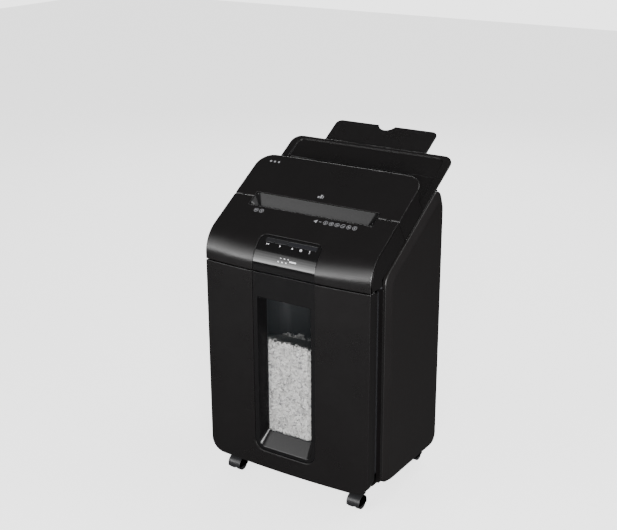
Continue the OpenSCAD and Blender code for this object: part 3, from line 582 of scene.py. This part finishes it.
finished = {node: dress(node, radius) for node, radius in EDGE_RADII.items()}
for node in ("window_frame", "feed_throat"):
    finished[node].data.materials[0] = RECESS
print("rounded parts:", len(finished))

# %% [markdown]
# ## Helpers for new pieces
# Small parts such as screws, springs and printed signs are built from bmesh operators in their
# own easy position and then put in place by one matrix. Their object stays at the origin with
# the place in the mesh, which keeps every pattern still when a joint moves.


# %% Build and stamp
def to_mesh(bm, name, weld=True):
    """Closes the work on a bmesh and returns it as a mesh."""
    if weld:
        bmesh.ops.remove_doubles(bm, verts=bm.verts, dist=0.002 * MM)
        bmesh.ops.recalc_face_normals(bm, faces=bm.faces)
    mesh = bpy.data.meshes.new(name)
    bm.to_mesh(mesh)
    bm.free()
    shade(mesh)
    return mesh


def stamp(name, template, places):
    """One mesh made of the template at each of the places, given as matrices."""
    count = len(template.vertices)
    base = np.empty(count * 3, np.float32)
    template.vertices.foreach_get("co", base)
    base = np.c_[base.reshape(-1, 3), np.ones(count, np.float32)]
    turned = np.concatenate([base @ np.array(place, np.float32).T for place in places])[:, :3]
    faces = [[k * count + v for v in face.vertices]
             for k in range(len(places)) for face in template.polygons]
    mesh = bpy.data.meshes.new(name)
    mesh.from_pydata(turned.tolist(), [], faces)
    mesh.update()
    shade(mesh)
    return mesh


def frame_at(place, along, across):
    """A matrix that puts local x along one direction and local z near another."""
    x = Vector(along).normalized()
    z = Vector(across)
    z = (z - z.project(x)).normalized()
    turn = Matrix((x, z.cross(x), z)).transposed()
    return Matrix.Translation(place) @ turn.to_4x4()


def tube(bm, points, radius, sides=8):
    """A round tube along points, as for a wire: a ring at each, bridged and capped."""
    rings = []
    for i, point in enumerate(points):
        ahead = Vector(points[min(i + 1, len(points) - 1)]) - Vector(points[max(i - 1, 0)])
        turn = ahead.to_track_quat("Z", "Y").to_matrix().to_4x4()
        made = bmesh.ops.create_circle(bm, segments=sides, radius=radius,
                                       matrix=Matrix.Translation(point) @ turn)
        rings.append(made["verts"])
    for low, high in zip(rings, rings[1:]):
        edges = {e for ring in (low, high) for v in ring for e in v.link_edges
                 if all(w in ring for w in e.verts)}
        bmesh.ops.bridge_loops(bm, edges=list(edges))
    for ring in (rings[0], rings[-1]):
        bmesh.ops.contextual_create(bm, geom=ring)


print("helpers ready")

# %% [markdown]
# ## Shredded paper
# The bin holds a heap of cross-cut scraps, each a few millimetres wide, and through the window
# it looks like white gravel. A bump map would look flat at the edge of the heap, so real scraps
# are made: one small curled strip is the template, and thousands of copies lie over a rough
# core that fills the heap. The same numbers come out on every run because the draws are seeded.

# %% The core of the heap
SCRAP_LONG = 11 * MM
SCRAP_WIDE = 4 * MM
HEAP_LOW, HEAP_HIGH = (Vector(c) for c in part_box("paper_shreds"))
CORE_SINK = 7 * MM
CREST = 14 * MM           # the heap is highest this far behind the window
FALL_RATE = 0.55          # and falls away by this much for each metre further back
HEAP_FALL = 70 * MM
CORE_ROUGHNESS = 0.8 * MM
draw = random.Random(41)


def heap_height(x, y):
    """How far the heap's surface falls below its highest level at a place."""
    swell = math.sin(x * 31 + 0.7) * math.cos(y * 37 + 1.9)
    ripple = math.sin(x * 83 - y * 59)
    behind = max(0.0, y - HEAP_LOW.y - CREST)
    return (2.2 - 1.7 * swell - 0.9 * ripple) * MM + min(HEAP_FALL, behind * FALL_RATE)


core = bmesh.new()
bmesh.ops.create_cube(core, size=1.0)
core_size = HEAP_HIGH - HEAP_LOW - Vector((2, 2, 2)) * CORE_SINK
bmesh.ops.scale(core, vec=core_size, verts=core.verts)
bmesh.ops.translate(core, vec=(HEAP_LOW + HEAP_HIGH) / 2, verts=core.verts)
low_rim = [e for e in core.edges if all(v.co.z < HEAP_LOW.z + 3 * CORE_SINK for v in e.verts)]
upright = [e for e in core.edges if abs(e.verts[0].co.z - e.verts[1].co.z) > 0.1]
bmesh.ops.bevel(core, geom=low_rim + upright, offset=22 * MM, offset_type="OFFSET",
                affect="EDGES", segments=4, profile=0.5, material=-1)
bmesh.ops.subdivide_edges(core, edges=core.edges, cuts=5, use_grid_fill=True)
for v in core.verts:
    v.co += Vector([draw.uniform(-CORE_ROUGHNESS, CORE_ROUGHNESS) for _ in range(3)])
    share = (v.co.z - HEAP_LOW.z) / (HEAP_HIGH.z - HEAP_LOW.z)
    v.co.z -= heap_height(v.co.x, v.co.y) * max(0.0, share)
core_mesh = to_mesh(core, "shred_core")
core_piece = link("shred_core", core_mesh, MATERIALS["shreds"])
settle(core_piece, "paper_shreds")
print("heap core faces:", len(core_mesh.polygons))

# %% One curled scrap
SCRAP_CURL = 0.9 * MM
SCRAP_THICK = 0.12 * MM
scrap = bmesh.new()
bmesh.ops.create_grid(scrap, x_segments=3, y_segments=1, size=0.5)
bmesh.ops.scale(scrap, vec=(SCRAP_LONG, SCRAP_WIDE, 1), verts=scrap.verts)
for v in scrap.verts:
    v.co.z = SCRAP_CURL * math.cos(v.co.x / SCRAP_LONG * math.pi)
bmesh.ops.solidify(scrap, geom=scrap.faces, thickness=SCRAP_THICK)
scrap_mesh = to_mesh(scrap, "scrap", weld=False)


def tilted(place, normal):
    """A scrap lying roughly flat on a face, turned and tipped at random."""
    spin = Matrix.Rotation(draw.uniform(0, math.tau), 4, "Z")
    tip = Matrix.Rotation(draw.gauss(0, 0.5), 4, "X") @ Matrix.Rotation(draw.gauss(0, 0.35), 4, "Y")
    size = Matrix.Scale(draw.uniform(0.55, 1.0), 4)
    face = Vector(normal).to_track_quat("Z", "Y").to_matrix().to_4x4()
    return Matrix.Translation(place) @ face @ tip @ spin @ size


# %% Scraps against the window and over the top
REACH = 5.6 * MM          # half a scrap, so that none pokes out of the heap's space
FRONT_COUNT, TOP_COUNT, SIDE_COUNT = 3600, 2500, 500
window_low, window_high = (Vector(c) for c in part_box("window_lens"))
places = []
for _ in range(FRONT_COUNT):
    x = draw.uniform(window_low.x - 0.004, window_high.x + 0.004)
    y = HEAP_LOW.y + draw.uniform(0.5, 6.5) * MM
    z = draw.uniform(window_low.z, HEAP_HIGH.z - 1.0 * MM)
    z -= max(0.0, heap_height(x, y) - (HEAP_HIGH.z - z))
    places.append(tilted((x, y + 1.6 * MM, z), (0, -1, 0)))
for _ in range(TOP_COUNT):
    x = draw.uniform(HEAP_LOW.x + REACH + 0.004, HEAP_HIGH.x - REACH - 0.004)
    y = draw.uniform(HEAP_LOW.y + REACH, HEAP_HIGH.y - REACH - 0.006)
    z = HEAP_HIGH.z - heap_height(x, y) - draw.uniform(0.0, 5.0) * MM
    places.append(tilted((x, y, z), (0, 0, 1)))
for _ in range(SIDE_COUNT):
    x = draw.uniform(HEAP_LOW.x + 0.02, HEAP_HIGH.x - 0.02)
    z = draw.uniform(HEAP_LOW.z + 0.03, HEAP_HIGH.z - 0.01)
    places.append(tilted((x, HEAP_LOW.y + 5.0 * MM, z), (0, -1, 0)))
scraps_mesh = stamp("paper_scraps", scrap_mesh, places)
scraps = link("paper_scraps", scraps_mesh, MATERIALS["shreds"])
settle(scraps, "paper_shreds")
print(len(places), "scraps of", len(scrap_mesh.polygons), "faces")

# %% [markdown]
# ## Coil springs
# Two springs press the plate onto the stack of paper. The engineer drew each as a sleeve. A
# coil is one circle swept along a helix, which the spin operator does when each step also moves
# the circle along the axis.

# %% Pressure springs
SPRING_RADIUS = 4.0 * MM
WIRE_RADIUS = 0.45 * MM
SPRING_TURNS = 7
STEPS_PER_TURN = 20
SPRING_FOOT = -49.2 + 2.6     # millimetres out of the slope, so just above the plate
SPRING_LENGTH = 21.6 * MM
coil = bmesh.new()
ring = bmesh.ops.create_circle(coil, cap_ends=True, segments=8, radius=WIRE_RADIUS,
                               matrix=Matrix.Translation((SPRING_RADIUS, 0, 0))
                               @ Matrix.Rotation(math.radians(90), 4, "X"))
steps = SPRING_TURNS * STEPS_PER_TURN
bmesh.ops.spin(coil, geom=ring["verts"] + coil.edges[:] + coil.faces[:], cent=(0, 0, 0),
               axis=(0, 0, 1), dvec=(0, 0, SPRING_LENGTH / steps),
               angle=math.tau * SPRING_TURNS, steps=steps)
coil_mesh = to_mesh(coil, "spring")
SPRING_UP_SLOPE = 40
spring_places = [Matrix.Translation(on_slope(x, SPRING_UP_SLOPE, SPRING_FOOT))
                 @ Matrix.Rotation(SLOPE, 4, "X") for x in (-40, 40)]
springs = link("coil_springs", stamp("coil_springs", coil_mesh, spring_places),
               MATERIALS["bright_steel"])
settle(springs, "pressure_springs")
print("spring faces:", len(coil_mesh.polygons))

# %% [markdown]
# ## Screws
# Each screw has a domed head: a short cone with a bevelled rim. Two thin crossed blades stand
# a little proud of it and stand for the cross that a driver fits, so that the head reads as a
# screw without a recess being cut into it.


# %% Screw heads
def screw_mesh(head, length, shank):
    """A pan-head screw that points down, its head's underside at zero."""
    bm = bmesh.new()
    bmesh.ops.create_cone(bm, cap_ends=True, segments=24, radius1=head, radius2=head * 0.8,
                          depth=2 * MM, matrix=Matrix.Translation((0, 0, 1 * MM)))
    top = [f for f in bm.faces if f.normal.z > 0.9 and f.calc_center_median().z > MM]
    rim = list({e for f in top for e in f.edges})
    bmesh.ops.bevel(bm, geom=rim, offset=0.45 * MM, offset_type="OFFSET", affect="EDGES",
                    segments=3, profile=0.5, material=-1)
    bmesh.ops.create_cone(bm, cap_ends=True, segments=12, radius1=shank, radius2=shank,
                          depth=length, matrix=Matrix.Translation((0, 0, -length / 2 - 0.01 * MM)))
    for turn in (0, math.pi / 2):
        blade = bmesh.ops.create_cube(bm, size=1.0)["verts"]
        bmesh.ops.scale(bm, vec=(head * 1.1, 0.5 * MM, 0.25 * MM), verts=blade)
        bmesh.ops.rotate(bm, matrix=Matrix.Rotation(turn, 3, "Z"), verts=blade, cent=(0, 0, 0))
        bmesh.ops.translate(bm, vec=(0, 0, 2.02 * MM), verts=blade)
    return to_mesh(bm, "screw", weld=False)


SCREW_HEAD, SCREW_SHANK = 3.4 * MM, 1.7 * MM
BACK_FACE = 248.5
BACKWARD = Matrix.Rotation(math.radians(-90), 4, "X")
cabinet_places = [Matrix.Translation(at(x, BACK_FACE + 0.1, z)) @ BACKWARD
                  for x in (-160, 160) for z in (70, 300, 545)]
cabinet_places += [Matrix.Translation(at(x, y, 436.5)) for x in (-127, 127) for y in (56, 134)]
screws = link("cabinet_screw_heads", stamp("cabinet_screw_heads",
              screw_mesh(SCREW_HEAD, 3.9 * MM, SCREW_SHANK), cabinet_places), MATERIALS["bright_steel"])
settle(screws, "cabinet_screws")
bin_places = [Matrix.Translation(at(x, 19.5, z)) @ BACKWARD
              for x in (-120, 120) for z in (100, 390)]
bin_screws = link("bin_screw_heads", stamp("bin_screw_heads",
                  screw_mesh(SCREW_HEAD, 12 * MM, SCREW_SHANK), bin_places), MATERIALS["bright_steel"])
settle(bin_screws, "bin_panel_screws")
print("screws:", len(cabinet_places) + len(bin_places))

# %% [markdown]
# ## Feed rollers
# The rollers that pull sheets from the stack are rubber sleeves with fine ribs. A circle with
# many sides is extruded, and every other side is pushed in a little, as a knurl is cut.

# %% Ribbed rollers
ROLLER_RADIUS = 16 * MM
ROLLER_BORE = 4.05 * MM
ROLLER_WIDTH = 26 * MM
RIB_DEPTH = 0.5 * MM
RIBS = 48
roller_low, roller_high = (Vector(c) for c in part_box("feed_rollers"))
roller_axis = (roller_low + roller_high) / 2
roller = bmesh.new()
outer = bmesh.ops.create_circle(roller, segments=RIBS * 2, radius=ROLLER_RADIUS)["verts"]
for i, v in enumerate(outer):
    if i % 2:
        v.co *= 1 - RIB_DEPTH / ROLLER_RADIUS
bmesh.ops.create_circle(roller, segments=RIBS * 2, radius=ROLLER_BORE)
bmesh.ops.bridge_loops(roller, edges=roller.edges[:])
pulled = bmesh.ops.extrude_face_region(roller, geom=roller.faces[:])
bmesh.ops.translate(roller, vec=(0, 0, ROLLER_WIDTH),
                    verts=[g for g in pulled["geom"] if isinstance(g, bmesh.types.BMVert)])
roller_mesh = to_mesh(roller, "ribbed_roller")
roller_places = [frame_at(Vector((x * MM, roller_axis.y, roller_axis.z)), (0, 1, 0), (1, 0, 0))
                 for x in (-45 - 13, 45 - 13)]
rollers = link("ribbed_rollers", stamp("ribbed_rollers", roller_mesh, roller_places),
               MATERIALS["roller_rubber"])
settle(rollers, "feed_rollers")
print("roller ribs:", RIBS)

# %% [markdown]
# ## Printed signs
# The shell carries small grey signs: two that say what the slot takes, a row of cautions, and
# a symbol under each control. They are drawn as rings, discs and bars, then each point is
# dropped along the face's direction until it meets the shell, so the ink follows the curve.
# A Solidify modifier gives the ink its thickness.


# %% Strokes that the signs are made of
INK_LIFT = 0.02 * MM      # the gap under the ink
INK_THICK = 0.06 * MM
PRINT_REACH = 20 * MM     # the points are dropped from this far out


def ring_stroke(bm, x, y, radius, width=0.5):
    """A thin ring."""
    place = Matrix.Translation((x * MM, y * MM, 0))
    before = set(bm.edges)
    bmesh.ops.create_circle(bm, segments=24, radius=radius * MM, matrix=place)
    bmesh.ops.create_circle(bm, segments=24, radius=(radius - width) * MM, matrix=place)
    bmesh.ops.bridge_loops(bm, edges=[e for e in bm.edges if e not in before])


def disc_stroke(bm, x, y, radius, sides=16, turn=0.0):
    """A filled disc, or a triangle when it has three sides."""
    place = Matrix.Translation((x * MM, y * MM, 0)) @ Matrix.Rotation(math.radians(turn), 4, "Z")
    bmesh.ops.create_circle(bm, cap_ends=True, segments=sides, radius=radius * MM, matrix=place)


def bar_stroke(bm, x, y, long, wide, turn=0.0):
    """A bar centred on a point and turned by an angle."""
    place = (Matrix.Translation((x * MM, y * MM, 0)) @ Matrix.Rotation(math.radians(turn), 4, "Z")
             @ Matrix.Diagonal((long * MM, wide * MM, 1, 1)))
    bmesh.ops.create_grid(bm, x_segments=1, y_segments=1, size=0.5, matrix=place)


def print_on(name, node, origin, out, strokes, material):
    """Lays strokes on a node; origin is their zero, out the way that they face."""
    bm = bmesh.new()
    for kind, *numbers in strokes:
        kind(bm, *numbers)
    place = frame_at(origin, ACROSS, out)
    bmesh.ops.transform(bm, matrix=place, verts=bm.verts)
    surface = welded_copy(node)
    target = bmesh.new()
    target.from_mesh(surface)
    tree = BVHTree.FromBMesh(target)
    start = Vector(out).normalized() * PRINT_REACH
    for v in bm.verts:
        hit, normal, _, _ = tree.ray_cast(v.co + start, -start)
        if hit is None:
            hit, normal, _, _ = tree.find_nearest(v.co)
        v.co = hit + normal * INK_LIFT
    target.free()
    bpy.data.meshes.remove(surface)
    for face in bm.faces:
        if face.normal.dot(Vector(out)) < 0:
            face.normal_flip()
    mesh = bpy.data.meshes.new(name)
    bm.to_mesh(mesh)
    bm.free()
    piece = link(name, mesh, material)
    ink = piece.modifiers.new("ink", "SOLIDIFY")
    ink.thickness = INK_THICK
    ink.offset = 1
    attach(piece, body_of[node])


# %% Signs on the head
def ringed(x, y, glyph):
    """A ring with one of a few plain glyphs in it."""
    inside = {
        "bar": [(bar_stroke, x, y, 4.6, 1.5)],
        "post": [(bar_stroke, x, y, 1.5, 4.6)],
        "dots": [(disc_stroke, x - 1.5, y, 0.9), (disc_stroke, x + 1.5, y, 0.9)],
        "cross": [(bar_stroke, x, y, 4.8, 1.0, 45), (bar_stroke, x, y, 4.8, 1.0, -45)],
    }[glyph]
    return [(ring_stroke, x, y, 4.4, 0.7), *inside]


SIGN_U = -30.5
left_signs = ringed(-108, 0, "bar") + ringed(-96, 0, "post")
right_signs = [(disc_stroke, 22, -0.5, 4.6, 3, 90), (bar_stroke, 31, 0, 4.5, 1.0)]
for x, glyph in zip((42, 54, 66, 78, 90, 102), ("post", "cross", "bar", "dots", "cross", "post")):
    right_signs += ringed(x, 0, glyph)
print_on("printed_cautions", "head_cover", on_slope(0, SIGN_U, 0), OUT_OF_SLOPE,
         left_signs + right_signs, PRINT)
sheet_sign = [(bar_stroke, -2.6, 0, 3.2, 4.4), (bar_stroke, 2.2, 2.0, 3.6, 8.4),
              (bar_stroke, 6.6, 0.8, 1.6, 6.0)]
print_on("printed_sheet_sign", "lid_shell", on_slope(0, 25, 0), OUT_OF_SLOPE, sheet_sign,
         PRINT)
corner_sign = [(disc_stroke, x, 0, 2.4) for x in (-146, -137, -128)]
print_on("printed_corner_dots", "lid_shell", on_slope(0, 92, 0), OUT_OF_SLOPE, corner_sign,
         PRINT)

# %% Signs on the console
CONSOLE_TILT = math.radians(54)
CONSOLE_OUT = Vector((0, -math.sin(CONSOLE_TILT), math.cos(CONSOLE_TILT)))
console_signs = [
    (disc_stroke, -46, 0, 1.7, 3, 90), (disc_stroke, -42.5, 0, 1.7, 3, 90),
    (disc_stroke, -18, 0, 2.0, 3, -90), (disc_stroke, 8, 0, 2.2, 3, 0),
    (ring_stroke, 26, 0, 2.3, 0.7), (bar_stroke, 26, 0, 2.6, 0.7),
    (bar_stroke, 44, 0.9, 1.0, 3.2), (disc_stroke, 44, -2.0, 0.6),
]
console_origin = at(0, 10.4, 486.0)
print_on("printed_console_signs", "console_fascia", console_origin, CONSOLE_OUT, console_signs,
         PRINT_BRIGHT)
badge = [(bar_stroke, x, 0, 9.0, 3.0, 62) for x in (-10, -2, 6)] + [(bar_stroke, 18, 0, 14, 2.2)]
print_on("printed_badge", "console_fascia", at(0, -3.0, 465), Vector((0, -0.94, 0.34)), badge,
         PRINT_BRIGHT)
print("signs printed")

# %% [markdown]
# ## Wiring
# Insulated wires join the motor and the switch to the power board. A wire is a tube: its
# route is smoothed by a spline through its points, then one circle at each step is bridged to
# the next, and the ends are capped. A curve with a bevel would do as well, but it would have to
# be turned into a mesh before its export.

# %% Wires in the head
INSULATION_RADIUS = 0.9 * MM
SPLINE_STEPS = 6
ROUTES = {
    "wire_motor_white": (WIRE_WHITE, [(12, 184, 471), (24, 192, 474), (34, 200, 472),
                                      (40, 200, 468)]),
    "wire_motor_blue": (WIRE_BLUE, [(12, 180, 476), (26, 190, 480), (40, 196, 475),
                                    (46, 196, 468)]),
    "wire_switch_brown": (WIRE_BROWN, [(-108, 228, 478), (-90, 218, 484), (-40, 205, 494),
                                       (20, 206, 492), (60, 226, 470), (76, 230, 442)]),
    "wire_switch_blue": (WIRE_BLUE, [(-108, 228, 474), (-88, 214, 480), (-40, 201, 493),
                                     (20, 203, 495), (64, 224, 474), (80, 226, 442)]),
}
for name, (finish, route) in ROUTES.items():
    wire = bmesh.new()
    points = [at(*point) for point in route]
    smooth = []
    for i in range(len(points) - 1):
        before, here = points[max(i - 1, 0)], points[i]
        ahead, after = points[i + 1], points[min(i + 2, len(points) - 1)]
        for step in range(SPLINE_STEPS):
            t = step / SPLINE_STEPS
            smooth.append(0.5 * (2 * here + (ahead - before) * t
                                 + (2 * before - 5 * here + 4 * ahead - after) * t ** 2
                                 + (3 * here - before - 3 * ahead + after) * t ** 3))
    smooth.append(points[-1])
    tube(wire, smooth, INSULATION_RADIUS)
    piece = link(name, to_mesh(wire, name), finish)
    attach(piece, "cabinet")
print("wires:", len(ROUTES))

# %% [markdown]
# ## Parts on the power board
# A bare board looks wrong through the vents, so it gets some of the parts that such a board
# carries: chips, and round capacitors in their cans. Each kind is one small template, stamped.

# %% Board parts
BOARD_TOP = 434.5 + 7.6
CAN_RADIUS, CAN_HEIGHT = 3.5 * MM, 11 * MM
CHIP_SIZE = Vector((9, 6, 3.2)) * MM
can = bmesh.new()
bmesh.ops.create_cone(can, cap_ends=True, segments=16, radius1=CAN_RADIUS, radius2=CAN_RADIUS,
                      depth=CAN_HEIGHT, matrix=Matrix.Translation((0, 0, CAN_HEIGHT / 2)))
can_mesh = to_mesh(can, "small_can")
chip = bmesh.new()
bmesh.ops.create_cube(chip, size=1.0, matrix=Matrix.Translation((0, 0, CHIP_SIZE.z / 2))
                      @ Matrix.Diagonal((*CHIP_SIZE, 1)))
bmesh.ops.bevel(chip, geom=chip.edges[:], offset=0.4 * MM, offset_type="OFFSET", affect="EDGES",
                segments=2, profile=0.5, material=-1)
chip_mesh = to_mesh(chip, "chip")
can_places = [Matrix.Translation(at(x, y, BOARD_TOP)) for x, y in
              ((78, 190), (78, 200), (90, 188), (44, 222), (54, 224))]
chip_places = [Matrix.Translation(at(x, y, BOARD_TOP)) for x, y in
               ((98, 196), (64, 224), (78, 228), (104, 186))]
for name, mesh, spots, finish in (("board_cans", can_mesh, can_places, "cap_aluminium"),
                                  ("board_chips", chip_mesh, chip_places, "switch_plastic")):
    piece = link(name, stamp(name, mesh, spots), MATERIALS[finish])
    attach(piece, "cabinet")
print("board parts:", len(can_places) + len(chip_places))
